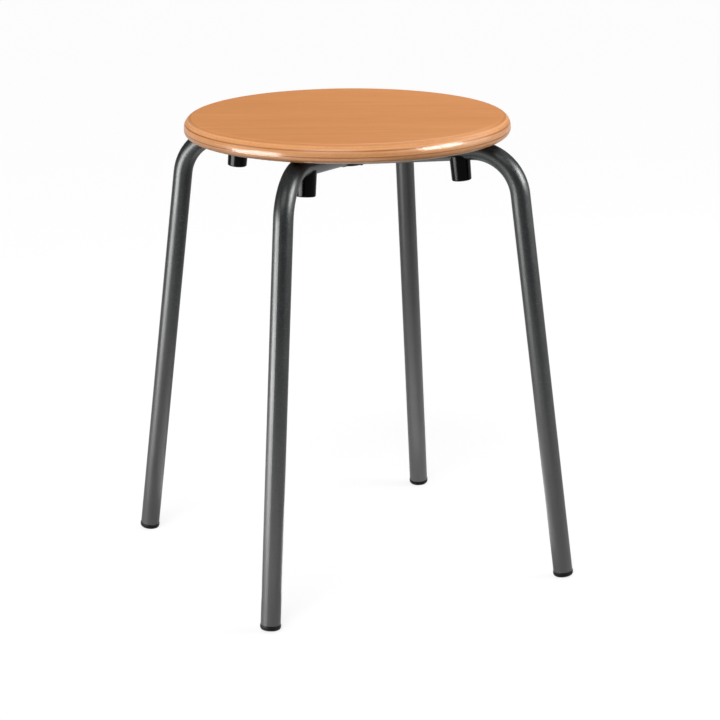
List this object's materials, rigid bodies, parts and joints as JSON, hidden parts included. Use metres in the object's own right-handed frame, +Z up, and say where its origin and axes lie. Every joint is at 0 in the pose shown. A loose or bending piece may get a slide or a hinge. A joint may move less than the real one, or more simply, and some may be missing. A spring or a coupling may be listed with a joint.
{
  "type": "stacking stool",
  "caption": "Stacking stool: round plywood seat with a rounded edge on a frame of bent steel tube legs, with black stacking stops under the arms and plastic glides on the feet.",
  "frame": {"origin": "on the floor under the middle of the seat, midway between the feet", "axes": "+Z up; the legs stand on the diagonals of X and Y, so each side of the stool faces an axis"},
  "size_m": [0.3358, 0.3358, 0.45],
  "materials": {
    "seat_plywood": "clear lacquered beech plywood",
    "frame_paint": "satin anthracite paint",
    "stop_plastic": "gloss",
    "glide_plastic": "satin",
    "fastener_steel": "bright zinc",
    "insert_brass": "plain"
  },
  "bodies": {
    "root": {"seat_panel": "seat_plywood", "mounting_plate": "frame_paint", "hub_tube": "frame_paint", "seat_screws": "fastener_steel", "seat_washers": "fastener_steel", "insert_nuts": "insert_brass", "front_left_leg": "frame_paint", "front_left_stop": "stop_plastic", "front_left_glide": "glide_plastic", "front_right_leg": "frame_paint", "front_right_stop": "stop_plastic", "front_right_glide": "glide_plastic", "back_right_leg": "frame_paint", "back_right_stop": "stop_plastic", "back_right_glide": "glide_plastic", "back_left_leg": "frame_paint", "back_left_stop": "stop_plastic", "back_left_glide": "glide_plastic"}
  },
  "joints": []
}
